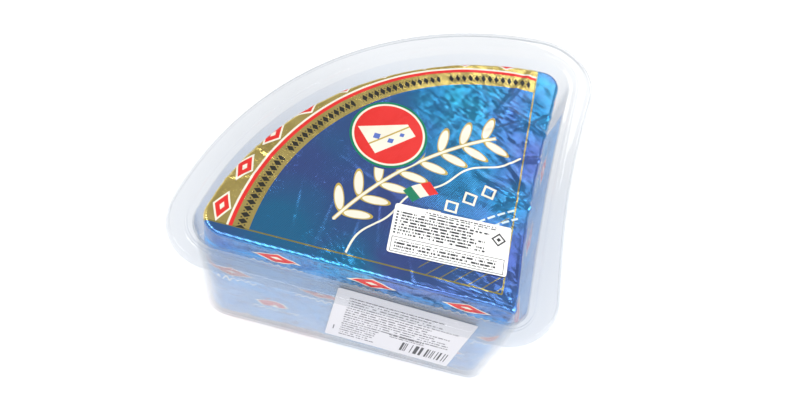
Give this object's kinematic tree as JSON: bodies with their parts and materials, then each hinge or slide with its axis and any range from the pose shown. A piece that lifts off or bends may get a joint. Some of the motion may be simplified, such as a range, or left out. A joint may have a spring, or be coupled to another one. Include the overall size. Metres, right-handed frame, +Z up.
{
  "type": "foil-wrapped gorgonzola wedge in an open tub",
  "caption": "Quarter-round wedge of blue-veined soft cheese wrapped in printed blue foil, standing in its open clear plastic tub with a rolled rim, with plain white stickers.",
  "frame": {"origin": "on the floor under the middle of the rim's bounding box", "axes": "+Z up; the straight front side with the big sticker faces -Y, the other straight side faces +X, and the wheel's round side faces -X and +Y"},
  "size_m": [0.1846, 0.176, 0.0976],
  "materials": {
    "clear_plastic": "clear injection-moulded polypropylene, slightly milky, glossy",
    "printed_foil": "embossed aluminium foil with a transparent blue lacquer and a gold band, crumpled and shiny",
    "sticker_paper": "white thermal label paper with small plain grey bars"
  },
  "bodies": {
    "root": {"tub": "clear_plastic", "foil_wedge": "printed_foil", "top_sticker": "sticker_paper", "side_sticker": "sticker_paper"}
  },
  "joints": []
}
